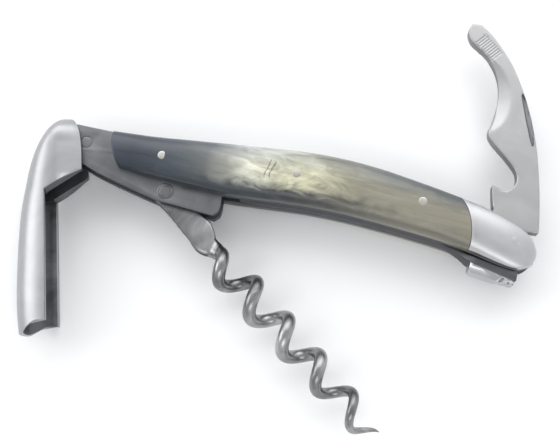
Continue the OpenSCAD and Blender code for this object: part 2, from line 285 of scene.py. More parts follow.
def horn(name):
    """Polished translucent horn: slate at the left, a pearly cream heart with clouds and two
    hairlines, then taupe. Towards the back edge it turns bluish grey, with a painted sheen near the heart;
    along the lower edge it is dark, painted shade."""
    f = Finish(name, Roughness=0.3, IOR=1.5)
    f.shader.inputs["Coat Weight"].default_value = 0.12
    f.shader.inputs["Coat Roughness"].default_value = 0.2
    f.shader.inputs["Subsurface Weight"].default_value = 0.1
    f.shader.inputs["Subsurface Radius"].default_value = (1.0, 0.8, 0.5)
    f.shader.inputs["Subsurface Scale"].default_value = 1.0 * MM
    split = f.add("ShaderNodeSeparateXYZ", {"Vector": f.place})
    x, y = (f.math("DIVIDE", split.outputs[axis], MM) for axis in "XY")
    swirl = f.noise((0.05, 0.13, 0.1), turn=-6, detail=3.0, rough=0.5, warp=0.8)
    cloud = f.noise((0.12, 0.26, 0.2), turn=-10, detail=4.0, rough=0.55, warp=1.6)
    streak = f.noise((0.035, 0.55, 0.4), turn=-5, detail=5.0, rough=0.6, warp=0.3)
    along = f.math("ADD", x, f.math("MULTIPLY", f.math("SUBTRACT", swirl, 0.5), 16.0))
    t = f.span(along, -48, 48)
    # where the middle of the scale's width runs, from -4 to 2 mm
    middle = f.ramp(f.span(x, -48, 48), [(k, (g, g, g)) for k, g in (
        (0.0, 0.16), (0.24, 0.25), (0.40, 0.48), (0.54, 0.73), (0.68, 0.77), (0.81, 0.63),
        (1.0, 0.3))])
    centre = f.math("SUBTRACT", f.math("MULTIPLY", middle, 6.0), 4.0)
    wave = f.math("MULTIPLY", f.math("SUBTRACT", cloud, 0.5), 0.7)
    across = f.math("ADD", f.math("DIVIDE", f.math("SUBTRACT", y, centre), 6.3), wave)
    heart = f.ramp(t, [(0.0, (0.055, 0.065, 0.095)), (0.08, (0.035, 0.042, 0.062)),
                       (0.20, (0.07, 0.085, 0.10)), (0.28, (0.13, 0.14, 0.14)),
                       (0.34, (0.33, 0.33, 0.295)), (0.39, (0.76, 0.76, 0.66)),
                       (0.46, (0.52, 0.51, 0.385)), (0.54, (0.64, 0.62, 0.46)),
                       (0.61, (0.36, 0.345, 0.26)), (0.72, (0.30, 0.285, 0.23)),
                       (1.0, (0.25, 0.235, 0.185))])
    # Bluish grey band along the back edge; near the heart it carries a painted sheen.
    back = f.ramp(t, [(0.0, (0.06, 0.068, 0.088)), (0.18, (0.065, 0.073, 0.092)),
                      (0.28, (0.15, 0.16, 0.172)), (0.36, (0.52, 0.53, 0.52)),
                      (0.50, (0.45, 0.455, 0.41)), (0.60, (0.30, 0.305, 0.27)),
                      (0.72, (0.15, 0.16, 0.157)), (0.84, (0.085, 0.095, 0.10)),
                      (1.0, (0.085, 0.095, 0.097))])
    # Dark band along the lower edge: painted shade.
    lower = f.ramp(t, [(0.0, (0.022, 0.034, 0.05)), (0.18, (0.035, 0.045, 0.058)),
                       (0.45, (0.04, 0.05, 0.058)), (0.56, (0.085, 0.088, 0.09)),
                       (0.68, (0.15, 0.145, 0.12)), (0.8, (0.20, 0.19, 0.15)),
                       (1.0, (0.19, 0.18, 0.145))])
    base = f.mix(f.span(across, 0.15, 0.75), heart, back)
    base = f.mix(f.span(across, -0.35, -0.8), base, lower)
    pearl = f.math("MULTIPLY", f.span(t, 0.30, 0.40), f.span(t, 0.78, 0.55))
    lit = f.mix(f.span(cloud, 0.36, 0.64), (0.62, 0.61, 0.58), (1.22, 1.22, 1.20))
    clouded = f.mix(f.math("MULTIPLY", pearl, 0.9), base, f.mix(1.0, base, lit, "MULTIPLY"))
    lined = f.mix(f.span(streak, 0.36, 0.66), (0.82, 0.82, 0.82), (1.1, 1.1, 1.08))
    striped = f.mix(1.0, clouded, lined, "MULTIPLY")
    bend = f.math("MULTIPLY", f.math("SUBTRACT", f.noise((0.3, 0.3, 0.2)), 0.5), 3.0)
    flaws = f.math("MULTIPLY", f.span(across, -0.35, -0.2), f.span(across, 0.55, 0.4))
    hair = 0.0
    for at in (-7.4, -6.1):
        gap = f.math("ABSOLUTE", f.math("SUBTRACT", f.math("ADD", x, bend), at))
        hair = f.math("MAXIMUM", hair, f.span(gap, 0.26, 0.08))
    f.color(f.mix(f.math("MULTIPLY", f.math("MULTIPLY", flaws, hair), 0.7), striped,
                  (0.09, 0.08, 0.055)))
    f.roughness(f.span(streak, 0.3, 0.8, 0.26, 0.36))
    f.bump(f.math("ADD", streak, cloud), 0.05, 0.02)
    return f.material


LINER_STEEL = steel("liner_steel", (0.215, 0.218, 0.226), 0.38, grain=(0.1, 5.0, 5.0), turn=-3)
BOLSTER_STEEL = steel("bolster_steel", (0.60, 0.60, 0.61), 0.42, grain=(0.15, 5.0, 5.0), grime=0.1)
LEVER_STEEL = steel("lever_steel", (0.43, 0.43, 0.44), 0.37, grain=(5.0, 0.12, 5.0), turn=18, grime=0.14)
BLADE_STEEL = steel("blade_steel", (0.50, 0.498, 0.50), 0.44, grain=(4.0, 0.2, 4.0), turn=12, grime=0.12)
# The blade's upright sides, dark as ground steel and partly painted shade, and painted shade in the nick's
# hollow.
BLADE_SIDES_AND_SHADE = steel("blade_sides_and_shade", (0.30, 0.30, 0.315), 0.45, grain=(3.0, 0.2, 3.0), turn=12)
WORM_STEEL = steel("worm_steel", (0.44, 0.44, 0.445), 0.31, grain=(0.5, 5.0, 5.0), turn=34, grime=0.6)
SPRING_STEEL = steel("spring_steel", (0.155, 0.157, 0.165), 0.42, grain=(0.1, 5.0, 5.0))
ORNAMENT_STEEL = steel("ornament_steel", (0.58, 0.58, 0.59), 0.2, grime=0.15, spread=0.05)
# Painted shade and painted dark reflections for some of the ornament's facets.
ORNAMENT_SHADE = steel("ornament_shade", (0.22, 0.22, 0.235), 0.22, grime=0.2, spread=0.05)
PIN_STEEL = steel("pin_steel", (0.60, 0.58, 0.54), 0.36, grain=(3.0, 3.0, 3.0), grime=0.15)
# Upright sides: dark as rough cut steel, and partly painted shade for the shadowed table they would
# reflect.
SIDE_STEEL_AND_SHADE = steel("side_steel_and_shade", (0.10, 0.105, 0.115), 0.5, grain=(0.2, 5.0, 5.0))
# Painted shade for the inside of the lever's slot and channel and the faces along its step.
PAINTED_SHADE_STEEL = steel("painted_shade_steel", (0.25, 0.255, 0.27), 0.48, grain=(5.0, 0.15, 5.0), turn=18, grime=0.5)
HORN = horn("horn")


# ---- Liners and the small parts between them -------------
def bevelled(name, node, material, body, slot, bevel):
    """A CAD node with rounded edges; its upright sides take the dark side material, as rough cut steel and
    partly painted shade.
    """
    mesh = frame["nodes"][node].data.copy()
    tidy(mesh, bevel, weld=2e-6)
    place(name, mesh, material, body, slot, node, inner=SIDE_STEEL_AND_SHADE,
          is_inner=lambda centre, normal: abs(normal[2]) < 0.3)


for side in ("upper", "lower"):
    bevelled(f"{side}_liner_plate", f"{side}_liner", LINER_STEEL, "handle", "liner_steel", 0.22)
bevelled("lever_spring_bar", "lever_spring", SPRING_STEEL, "handle", "spring_steel", 0.12)
bevelled("lever_tang_leaf", "lever_tang", LEVER_STEEL, "lever", "lever_steel", 0.12)
for node in ("belly_spring_rivet", "lever_spring_rivet", "upper_bolster_rivets",
             "lower_bolster_rivets"):
    bevelled(f"{node}_steel", node, PIN_STEEL, "handle", "pin_steel", 0.1)


# ---- Scales and bolsters ---------------------------------
NOSE = (-32.5, 2.2, 15.3)       # centre and radius of the scale's left end
JOINT = (27.2, -7.0, 17.5)      # and of its joint with the bolster
EDGE_H = 1.2                    # upright edge of the dome above the liner
SEAM = 0.05                     # half the gap between scale and bolster
END_X = 61.1


def ray_lines():
    """Back, lower edge and crown of scale and bolster along the handle, felt with rays."""
    points, triangles = [], []
    for node in ("upper_scale", "upper_bolster"):
        data = frame["nodes"][node].data
        data.calc_loop_triangles()
        triangles += [[k + len(points) for k in t.vertices] for t in data.loop_triangles]
        points += [v.co / MM for v in data.vertices]
    tree = BVHTree.FromPolygons(points, triangles)
    xs = np.concatenate([np.arange(-40.0, 46.5, 2.0), [50, 53, 55.5, 57.5, 59, 60.1, 60.7]])
    back, low, crown = [], [], []
    height = LINER_TOP + EDGE_H / 2
    for x in xs:
        back.append(tree.ray_cast(Vector((x, 60, height)), Vector((0, -1, 0)))[0].y)
        low.append(tree.ray_cast(Vector((x, -60, height)), Vector((0, 1, 0)))[0].y)
        centre = (back[-1] + low[-1]) / 2
        hits = [tree.ray_cast(Vector((x + 0.01, centre + dy, 60)), Vector((0, 0, -1)))[0]
                for dy in (-1.3, 0.02, 1.3)]
        crown.append(max([hit.z for hit in hits if hit] + [LINER_TOP + EDGE_H]))

    def line(ys):
        slope = (ys[1] - ys[0]) / (xs[1] - xs[0])
        first = (xs[0] - 12, ys[0] - 12 * slope)
        return graph([first] + list(zip(xs, ys)) + [(END_X + 0.1, ys[-1])])

    return line(back), line(low), line(crown)


BACK, LOWER, CROWN = ray_lines()


def round_top(z, top, soft=0.35):
    """Keeps a height under a top, easing into it."""
    over = np.clip(z - (top - soft), 0, None)
    return np.minimum(z, top - soft) + soft * (1 - np.exp(-over / soft)) * 0.98


def dome(start, end, roll_start, roll_end):
    """A grid of points over a scale or bolster, between the curved ends x = start(y) and
    x = end(y); roll_start and roll_end are the radii of its edges there."""
    rolls = [0, 0.02, 0.06, 0.12, 0.2, 0.3, 0.5]
    stations = [(0, s) for s in rolls] + [(0, s) for s in (0.9, 1.5)]
    stations += [(a, 0) for a in np.linspace(0.05, 0.95, 60)]
    stations += [(1, -s) for s in (1.5, 0.9)] + [(1, -s) for s in rolls[::-1]]
    angles = np.radians(np.linspace(180, 0, 41))
    across = np.sign(np.cos(angles)) * np.abs(np.cos(angles)) ** 0.9
    arch = np.sin(angles) ** 0.8
    top = []
    for a, s in stations:
        y = across * 5.0
        for _ in range(12):
            x = start(y) * (1 - a) + end(y) * a + s
            middle, half = (BACK(x) + LOWER(x)) / 2, (BACK(x) - LOWER(x)) / 2
            y = middle + half * across
        edge = LINER_TOP + EDGE_H
        z = edge + (CROWN(x) - edge) * arch
        for roll, near in ((roll_start, s if a == 0 else 9.0), (roll_end, -s if a == 1 else 9.0)):
            if roll and near < roll:
                z = z - roll * (1 - math.sqrt(1 - (1 - near / roll) ** 2))
        top.append(np.column_stack([x, y, round_top(z, HANDLE_TOP)]))
    return np.array(top)


def slab(top, floor):
    """A closed solid under a grid of points, down to a flat floor, with upright sides."""
    m, n = top.shape[:2]
    base = top.copy()
    base[:, :, 2] = floor
    size = m * n
    faces = []
    for i in range(m - 1):
        for j in range(n - 1):
            quad = [i * n + j, (i + 1) * n + j, (i + 1) * n + j + 1, i * n + j + 1]
            faces += [quad, [k + size for k in quad[::-1]]]
    rim = [i * n for i in range(m)] + [(m - 1) * n + j for j in range(1, n)]
    rim += [i * n + n - 1 for i in range(m - 2, -1, -1)] + list(range(n - 2, 0, -1))
    for a, b in zip(rim, rim[1:] + rim[:1]):
        faces.append([b, a, a + size, b + size])
    return np.vstack([top.reshape(-1, 3), base.reshape(-1, 3)]), faces


def nose_x(y):
    return NOSE[0] - np.sqrt(NOSE[2] ** 2 - np.clip(y - NOSE[1], -12, 12) ** 2)


def joint_x(y):
    return JOINT[0] + np.sqrt(JOINT[2] ** 2 - (y - JOINT[1]) ** 2)


def end_x(y):
    return END_X - 0.12 * (y + 5.2) ** 2


def handle_sides():
    scale = slab(dome(nose_x, lambda y: joint_x(y) - SEAM, 0.35, 0.12), LINER_TOP)
    bolster = slab(dome(lambda y: joint_x(y) + SEAM, end_x, 0.12, 0.7), LINER_TOP)
    for part, (verts, faces), material, slot in (("scale", scale, HORN, "horn"),
                                                 ("bolster", bolster, BOLSTER_STEEL, "bolster_steel")):
        for side in ("upper", "lower"):
            points = verts.copy()
            if side == "lower":
                points[:, 2] = 2 * MID_Z - points[:, 2]
            mesh = new_mesh(f"{side}_{part}", points, faces)
            tidy(mesh, sharp=42)
            place(f"{side}_{part}_shell", mesh, material, "handle", slot, f"{side}_{part}")


handle_sides()


# ---- Pins ------------------------------------------------
PROUD = 0.03                    # how far a bolster's pin stands out of it
SCALE_PROUD = 0.06              # and a scale's pin
AXIS_R = 0.001                  # innermost radius of a turned profile


def mirrored(parts):
    """The likenesses of round pieces on the lower side."""
    return [(np.column_stack([np.array(v)[:, :2], 2 * MID_Z - np.array(v)[:, 2]]), f)
            for v, f in parts]


def head(radius, top, ring=0.0, crown=0.04):
    """Profile of a crowned head that has a chamfered rim, and a turned ring if asked."""
    profile = [(AXIS_R, top)]
    profile += [(radius * k, top - crown * k * k) for k in (0.2, 0.4, 0.55)]
    if ring:
        profile += [(radius * 0.66, top - ring * 0.3), (radius * 0.70, top - ring),
                    (radius * 0.75, top - ring), (radius * 0.80, top - ring * 0.2)]
    else:
        profile += [(radius * 0.7, top - crown * 0.6)]
    return profile + [(radius * 0.9, top - crown), (radius * 0.96, top - crown - 0.02),
                      (radius, top - crown - 0.06)]


def surface(x, y):
    """Height of scale or bolster at a spot on the upper side."""
    middle, half = (BACK(x) + LOWER(x)) / 2, (BACK(x) - LOWER(x)) / 2
    arch = max(0.0, 1 - abs((y - middle) / half) ** (2 / 0.9)) ** 0.4
    edge = LINER_TOP + EDGE_H
    return float(round_top(np.array(edge + (CROWN(x) - edge) * arch), HANDLE_TOP))


def flush(verts, top):
    """Lets both heads of an upright pin follow the handle's two sides."""
    out = []
    for x, y, z in verts:
        side = 1 if z > MID_Z else -1
        rise = surface(x, y) + PROUD - top
        out.append((x, y, z + side * rise))
    return out


def hinge_pins():
    """Pins with a head on both sides; each is given with how deep its heads' ring is."""
    for node, ring in (("worm_pin", 0.09), ("lever_pin", 0.0), ("blade_pin", 0.03)):
        low, high = LOW[node], HIGH[node]
        upper = head((high[1] - low[1]) / 2, high[2], ring)
        lower = [(r, 2 * MID_Z - z) for r, z in upper[::-1]]
        verts, faces = lathe(upper + lower, (low + high)[:2] / 2)
        material = LINER_STEEL
        if node == "blade_pin":
            verts = flush(verts, high[2])
            material = BOLSTER_STEEL
        mesh = new_mesh(f"{node}_turned", verts, faces)
        tidy(mesh)
        place(f"{node}_turned", mesh, material, "handle", "pin_steel", node)


def scale_pins():
    """The pins of each side's scale; the middle one has a turned ring in its head."""
    points = sorted(tuple(v.co / MM) for v in frame["nodes"]["upper_scale_pins"].data.vertices)
    groups = [[points[0]]]
    for before, point in zip(points, points[1:]):
        if point[0] - before[0] > 5:    # the next pin begins
            groups.append([])
        groups[-1].append(point)
    parts = []
    for group in groups:
        low, high = np.min(group, axis=0), np.max(group, axis=0)
        at = (low + high)[:2] / 2
        top = min(surface(*at) + SCALE_PROUD, HANDLE_TOP)
        wide = (high[1] - low[1]) / 2
        ring = 0.08 if abs(at[0]) < 5 else 0.0
        profile = head(wide, top, ring, crown=0.03) + [(wide, low[2]), (AXIS_R, low[2])]
        parts.append(lathe(profile, at))
    for side, group in (("upper", parts), ("lower", mirrored(parts))):
        mesh = new_mesh(f"{side}_pins", *joined(group))
        tidy(mesh)
        place(f"{side}_scale_pins_turned", mesh, PIN_STEEL, "handle", "pin_steel",
              f"{side}_scale_pins")


hinge_pins()
scale_pins()


# ---- Belly spring and its ornament -----------------------
def rounded_box(half_y, half_z, corner, n=4):
    """Points of a rounded rectangle, counter-clockwise from its +y side."""
    corner = min(corner, half_y * 0.98, half_z * 0.98)
    out = []
    for quarter, (sy, sz) in enumerate(((1, 1), (-1, 1), (-1, -1), (1, -1))):
        for k in range(n + 1):
            a = math.radians(90 * (quarter + k / n))
            out.append((sy * (half_y - corner) + corner * math.cos(a),
                        sz * (half_z - corner) + corner * math.sin(a)))
    return out


HEEL_SWEEP = 8.15               # radius that the groove leaves free for the blade's heel
GROOVE = 1.72                   # half the groove's width
SPRING_X0, SPRING_X1 = -13.0, 57.6
END_TRIM = 0.12                 # how far the spring's ends are chamfered


def belly_spring():
    """A bar along the belly that widens into a head, with a groove in the head's top."""
    top = graph([(-13, -4.9), (0, -3.9), (15, -3.6), (28, -4.0), (36, -4.9), (41, -6.3), (45, -8.3),
                 (51, -9.45), (56, -9.95), (57.6, -9.9)])
    low = graph([(-13, -7.9), (-8, -7.6), (4, -6.5), (14, -6.2), (26, -6.5), (36, -7.1),
                 (41, -8.2), (44, -9.3), (46, -10.2), (51, -11.15), (57.6, -12.35)])
    wide = graph([(-13, 1.6), (38, 1.6), (41, 1.75), (43.8, 2.4), (46.4, 3.4), (48, 3.6), (57.6, 3.6)])
    hinge_x, hinge_y = HINGE["blade"][:2]
    xs = np.concatenate([[SPRING_X0, SPRING_X0 + 0.1], np.arange(-12, 36, 1.5),
                         np.arange(36, 57.4, 0.5), [SPRING_X1 - 0.1, SPRING_X1]])
    rings = []
    for x in xs:
        trim = END_TRIM if x in (SPRING_X0, SPRING_X1) else 0.0
        middle, half = (top(x) + low(x)) / 2, (top(x) - low(x)) / 2 - trim
        side = min(GROOVE, wide(x) - 0.5)
        reach = HEEL_SWEEP**2 - (x - hinge_x) ** 2
        floor_y = half
        if reach > 0:
            floor_y = min(half, hinge_y - math.sqrt(reach) - middle)
        ring = rounded_box(half, wide(x) - trim, 0.28)
        ring += [(half, -side), (floor_y, 0.02 - side), (floor_y, side - 0.02), (half, side)]
        rings.append([(x, middle + y, MID_Z + z) for y, z in ring])
    mesh = new_mesh("belly_spring", *loft(rings, seen_along=0))
    tidy(mesh, sharp=40)
    # The bar's forward faces left of its head take the dark side material: rough steel and partly painted
    # shade.
    place("belly_spring_bar", mesh, SPRING_STEEL, "handle", "spring_steel", "belly_spring",
          inner=SIDE_STEEL_AND_SHADE, is_inner=lambda centre, normal: normal[1] < -0.6 and centre[0] < 46)


HEAD_LINE = graph([(46, -10.2), (57.7, -12.4)], soft=False)
SOLE_Y = -12.55                 # the ornament's lowest line starts here


def ornament():
    """A cut wedge: a long bright bevel and a paler flank on each side, then short star cuts at
    its thin end. Set facets near the thin end and the end faces are darker: painted shade and painted dark
    reflections."""
    low, high = LOW["spring_ornament"], HIGH["spring_ornament"]
    half = (high[2] - low[2]) / 2
    # share of the length, of the depth at the flank and at the bevel, and of the half width
    # above the bevel and below it
    rows = [(0.0, 0.55, 0.86, 0.86, 0.55), (0.05, 0.30, 0.96, 0.97, 0.62), (0.30, 0.26, 0.97, 1.0, 0.66),
            (0.60, 0.24, 0.94, 1.0, 0.60), (0.68, 0.50, 0.98, 0.96, 0.30), (0.77, 0.22, 0.80, 1.0, 0.66),
            (0.86, 0.55, 0.98, 0.95, 0.30), (0.94, 0.25, 0.85, 0.97, 0.62), (1.0, 0.50, 0.90, 0.80, 0.45)]
    rings = []
    for k, outer, inner, wide, sole in rows:
        x = low[0] + 0.03 + (high[0] - low[0] - 0.06) * k
        y = HEAD_LINE(x) + 0.08
        deep = y - low[1] - 0.12 if k > 0.5 else y - (SOLE_Y - k)
        w = half * wide
        rings.append([(x, y, MID_Z + w), (x, y, MID_Z - w), (x, y - deep * outer, MID_Z - w),
                      (x, y - deep * inner, MID_Z - half * sole), (x, y - deep, MID_Z),
                      (x, y - deep * inner, MID_Z + half * sole), (x, y - deep * outer, MID_Z + w)])
    verts, faces = loft(rings)
    split, shade = [], []
    for number, face in enumerate(faces):
        if len(face) == 4:
            row, side = divmod(number, len(rings[0]))
            if (row + side) % 2:
                face = face[1:] + face[:1]
            split += [face[:3], [face[0]] + face[2:]]
            # Painted shade and dark reflections: a set pattern of facets past the fourth row, and the end
            # faces, take the darker material.
            shade += [row > 3 and (row + side) % 3 == 0, row > 3 and (row * 2 + side) % 4 == 1]
        else:
            split.append(face)
            shade.append(True)
    mesh = new_mesh("spring_ornament", verts, split)
    for face, dark in zip(mesh.polygons, shade):
        face.material_index = int(dark)
    tidy(mesh, bevel=0.05, sharp=9)
    place("spring_ornament_cut", mesh, ORNAMENT_STEEL, "handle", "ornament_steel", "spring_ornament",
          inner=ORNAMENT_SHADE)


belly_spring()
ornament()


# ---- Lever -----------------------------------------------
LEVER_TURN = -72.0
STEP_TOP, STEP_FOOT = 7.5, 12.6     # where the hood's cheek ends, above and at the rim
SLOT_X = -5.3                       # the slot for the liners starts here
CHANNEL_X = 13.0                    # and the open channel here
TIP_X = -7.15
BROW_X = -0.6                       # the hood narrows from here to its tip
WIDEST_Y, HALF_WIDTH = -7.0, 7.0
RIM_Y = -9.7
WALL, FLOOR_WALL = 1.1, 1.15
SLOT_HALF = 3.42                    # half the slot's width
CHEEK_LEAN = 2.35                   # how far a cheek leans in at its top
CHEEK = graph([(TIP_X, -5.55), (-6.95, -4.4), (-6.3, -3.35), (-5.2, -2.5), (-3.6, -1.75), (-1.3, -1.22),
               (2.8, -0.95), (STEP_TOP, -0.95)])
RIM = graph([(STEP_TOP, -0.95), (STEP_FOOT, RIM_Y - 0.1), (13.4, RIM_Y), (50, RIM_Y + 0.2)], soft=False)
SPINE = graph([(TIP_X, -5.55), (-6.95, -6.6), (-6.35, -7.6), (-4.9, -9.25), (-3.1, -10.8), (-0.6, -12.4),
               (2.3, -13.75), (6.1, -14.95), (10.3, -15.8), (18.4, -17.2), (32, -18.0), (42, -18.0),
               (49, -17.5)])
SLOT_FLOOR = graph([(-5.4, -5.4), (-4.9, -6.8), (-4.1, -8.0), (-0.8, -10.6), (5.9, -13.3), (13, -14.8)])
OUTER, TURN_IN = 33, 8              # points of a half section: outside, and round the rim
LIP = 5                             # across the rim
INNER = 12                          # inside
SLOT_WALL = 8                       # of those, up to the slot's floor


def lever_profile(x):
    """Half of the lever's section at x, from its spine's middle over the rim to the channel's
    middle: (y, z) points."""
    y_top = float(CHEEK(x) if x <= STEP_TOP else RIM(x))
    y_low = float(SPINE(x))
    near_tip = min(1.0, max(0.0, (BROW_X - x) / (BROW_X - TIP_X)))
    wide = HALF_WIDTH * (1 - near_tip**2.6) ** 0.5
    ridge = min(max(WIDEST_Y, y_low + 0.5 * (y_top - y_low)), y_top - 0.2)
    if near_tip > 0.5:
        ridge = min(ridge, y_low + 0.62 * (y_top - y_low))
    lean = CHEEK_LEAN * (1 - ramp(x, STEP_TOP + 1, STEP_FOOT))
    reach = max(1e-6, -1.0 - ridge)
    outer = []
    widest = WIDEST_Y if x > STEP_TOP else ridge
    last = math.acos(((widest - ridge) / (widest - y_low)) ** 1.25)
    for k in range(OUTER - TURN_IN):
        a = last * k / (OUTER - TURN_IN - 1)
        y = widest - (widest - y_low) * max(0.0, math.cos(a)) ** 0.80
        outer.append((y, wide * math.sin(a) ** 0.86))
    side = outer[-1][1]
    for k in range(1, TURN_IN + 1):
        y = ridge + (y_top - ridge) * k / TURN_IN
        fall = lean * min(1.0, max(0.0, (y - ridge) / reach)) ** 1.15
        outer.append((y, max(0.0, side - fall * wide / HALF_WIDTH)))
    top_z = outer[-1][1]
    if x <= SLOT_X:
        n = LIP + INNER
        return outer + [(y_top + 0.02, top_z * (1 - k / n)) for k in range(1, n + 1)]
    hood = x < CHANNEL_X
    foot = float(SLOT_FLOOR(x)) if hood else y_low + FLOOR_WALL
    inner_z = min(SLOT_HALF, top_z - 0.2) if hood else wide - WALL
    edge = min(0.16 if hood else 0.3, (top_z - inner_z) / 2.2)
    outer[-1] = (y_top - edge, outer[-1][1])
    lip = [(y_top - edge * 0.3, top_z - edge * 0.3), (y_top, top_z - edge),
           (y_top, inner_z + edge), (y_top - edge * 0.3, inner_z + edge * 0.3),
           (y_top - edge, inner_z)]
    inner = []
    for k in range(INNER):
        a = math.radians(90 * k / (INNER - 1))
        if hood:
            y = y_top - edge + (foot - (y_top - edge)) * min(1.0, k / SLOT_WALL)
            z = inner_z * min(1.0, 1 - (k - SLOT_WALL) / (INNER - 1 - SLOT_WALL))
        else:
            y = y_top - edge - (y_top - edge - foot) * math.sin(a) ** 0.8
            z = inner_z * math.cos(a) ** 0.75
        inner.append((y, z))
    return outer + lip + inner


def lever():
    """The bent shell: hood over the hinge, a step, then an open channel with a claw end."""
    xs = [TIP_X + s for s in (0, 0.01, 0.04, 0.09, 0.16, 0.26, 0.4, 0.6, 0.85, 1.15, 1.5)]
    xs += [SLOT_X - 0.02, SLOT_X + 0.02] + list(np.arange(-4.9, 7.3, 0.5))
    xs += [STEP_TOP - 0.12, STEP_TOP, STEP_TOP + 0.12] + list(np.linspace(8.1, STEP_FOOT - 0.3, 12))
    xs += [STEP_FOOT - 0.05, STEP_FOOT + 0.1, CHANNEL_X - 0.02, CHANNEL_X + 0.02, 13.4]
    xs += list(np.arange(14.2, 40, 1.2))
    end = graph([(-18.2, 47.2), (-17.4, 47.5), (-16.2, 47.3), (-15, 46.5), (-13.6, 45.6), (-12, 44.95),
                 (-9.4, 45.2)])
    base, reach = 40.0, 9.0         # the claw's sections bend from upright at base to its end line
    tail = (0, 0.15, 0.3, 0.45, 0.6, 0.72, 0.82, 0.9, 0.95, 0.985, 1)
    rings = []
    for x, share in [(x, 0) for x in xs] + [(base + reach * s, s) for s in tail]:
        half = lever_profile(x)
        ring = half + [(y, -z) for y, z in half[::-1][1:-1]]
        rings.append([(x if not share else base + (float(end(y)) - base) * share, y, z)
                      for y, z in ring])
    verts, faces = loft(rings, seen_along=0)
    mesh = new_mesh("lever_shell", turned(verts, "lever", LEVER_TURN), faces)
    n = len(rings[0])
    # Painted shade: faces inside the slot and the channel, and the lip faces along the step, take the dark
    # inner material.
    for face, corners in zip(mesh.polygons, faces):
        around = [min(c % n, n - c % n) for c in corners]
        x = rings[min(corners) // n][0][0]
        in_slot = min(around) >= OUTER + LIP - 1 and x > SLOT_X
        on_lip = min(around) >= OUTER - 1 and max(around) <= OUTER + LIP - 1
        on_step = on_lip and STEP_TOP - 0.05 < x < CHANNEL_X
        face.material_index = int(len(corners) == 4 and (in_slot or on_step))
    tidy(mesh, sharp=38)
    place("lever_shell_formed", mesh, LEVER_STEEL, "lever", "lever_steel", "lever_shell",
          inner=PAINTED_SHADE_STEEL)


lever()


# ---- Worm ------------------------------------------------
WORM_TURN = -34.5
PITCH = 11.8
VALLEY_X = 26.0
COIL_X0, COIL_X1 = 20.0, 78.3
COIL_OFFSET = -1.15             # the helix's axis lies beside the tang's
EYE, BORE = 3.3, 2.14
TANG_HALF = 1.58                # half the tang's thickness


def worm_path(x):
    """The wire's centre line: straight in the tang, then a helix that narrows to its tip."""
    radius = np.interp(x, [COIL_X0, 23, 26, 38, 50, 60, 74, COIL_X1],
                       [0.9, 2.52, 3.5, 3.5, 3.22, 3.01, 2.94, 1.75])
    a = np.radians(360 * (x - VALLEY_X) / PITCH)
    fade = ramp(x, 12.0, COIL_X0)
    return np.column_stack([x, fade * (COIL_OFFSET - radius * np.cos(a)), -fade * radius * np.sin(a)])


def worm():
    """A flat tang with a round eye that turns into the round wire of the helix."""
    starts = -EYE * np.cos(np.radians(np.linspace(0, 90, 9)))
    xs = np.concatenate([starts, np.arange(1.0, 12, 1.0), np.arange(12, COIL_X1, 0.16), [COIL_X1]])
    centre = worm_path(xs)
    tangent = np.gradient(centre, axis=0)
    tangent /= np.linalg.norm(tangent, axis=1)[:, None]
    upper = graph([(0, 3.25), (5, 3.1), (9.8, 3.1), (12.5, 3.45), (15.3, 3.2), (17, 2.88), (19.1, 2.45),
                   (21.2, 2.0), (23, 1.65), (26, 1.65)])
    lower = graph([(0, 3.25), (5, 3.05), (9.8, 3.27), (13.3, 3.27), (16, 2.97), (18.5, 2.05), (20.5, 1.66),
                   (22.6, 1.65), (26, 1.65)])
    wire = graph([(COIL_X0, 1.62), (24, 1.65), (56, 1.65), (61.5, 1.42), (67, 1.32), (72, 1.06),
                  (75, 0.78), (77, 0.5), (COIL_X1, 0.1)], soft=False)
    side = np.array([0.0, 1.0, 0.0])
    rings = []
    for x, p, t in zip(xs, centre, tangent):
        side = side - t * side.dot(t)
        side /= np.linalg.norm(side)
        up = np.cross(t, side)
        round_share = ramp(x, 12.0, 20.8)
        power = 2 / (2 + 10 * (1 - round_share) ** 2)
        half_w = [math.sqrt(max(0.0004, EYE**2 - x * x))] * 2 if x < 0 else [
            float(edge(x) if x < 24 else wire(x)) for edge in (upper, lower)]
        half_t = TANG_HALF if x < 14 else float(TANG_HALF + (wire(x) - TANG_HALF) * ramp(x, 14, 22))
        ring = []
        for k in range(32):
            a = 2 * math.pi * (k + 0.5) / 32
            c, s = math.cos(a), math.sin(a)
            u = math.copysign(abs(c) ** power, c) * half_w[0 if c > 0 else 1]
            v = math.copysign(abs(s) ** power, s) * half_t
            ring.append(p + side * u + up * v)
        rings.append(ring)
    verts, faces = loft(rings)
    mesh = new_mesh("worm", turned(verts, "worm", WORM_TURN), faces)
    tidy(mesh, sharp=50)

    # The tang's upright sides near the hinge take the dark side material: rough steel and partly painted
    # shade.
    def on_tang_edge(centre, normal):
        return abs(normal[2]) < 0.6 and math.dist(centre[:2], HINGE["worm"][:2]) < 19

    piece = place("worm_wire", mesh, WORM_STEEL, "worm", "worm_steel", "worm",
                  inner=SIDE_STEEL_AND_SHADE, is_inner=on_tang_edge)
    bore(piece, HINGE["worm"], BORE)


worm()


# ---- Blade -----------------------------------------------
def flat_loops(node):
    """Rims of the flat lower face of a CAD node: its outline and its holes, longest first."""
    bm = bmesh.new()
    bm.from_mesh(frame["nodes"][node].data)
    bmesh.ops.remove_doubles(bm, verts=bm.verts, dist=2e-6)
    z = min(v.co.z for v in bm.verts)
    faces = [f for f in bm.faces if f.normal.z < -0.99 and abs(f.calc_center_median().z - z) < 1e-5]
    rim = {}
    for f in faces:
        for loop in f.loops:
            if sum(g in faces for g in loop.edge.link_faces) == 1:
                rim[loop.vert.index] = (loop.link_loop_next.vert.index, loop.vert.co.xy / MM)
    loops = []
    while rim:
        key = next(iter(rim))
        line = []
        while key in rim:
            following, at = rim.pop(key)
            line.append(tuple(at))
            key = following
        loops.append(np.array(line))
    bm.free()
    size = [np.linalg.norm(np.ptp(line, axis=0)) for line in loops]
    return [loops[k] for k in np.argsort(size)[::-1]]


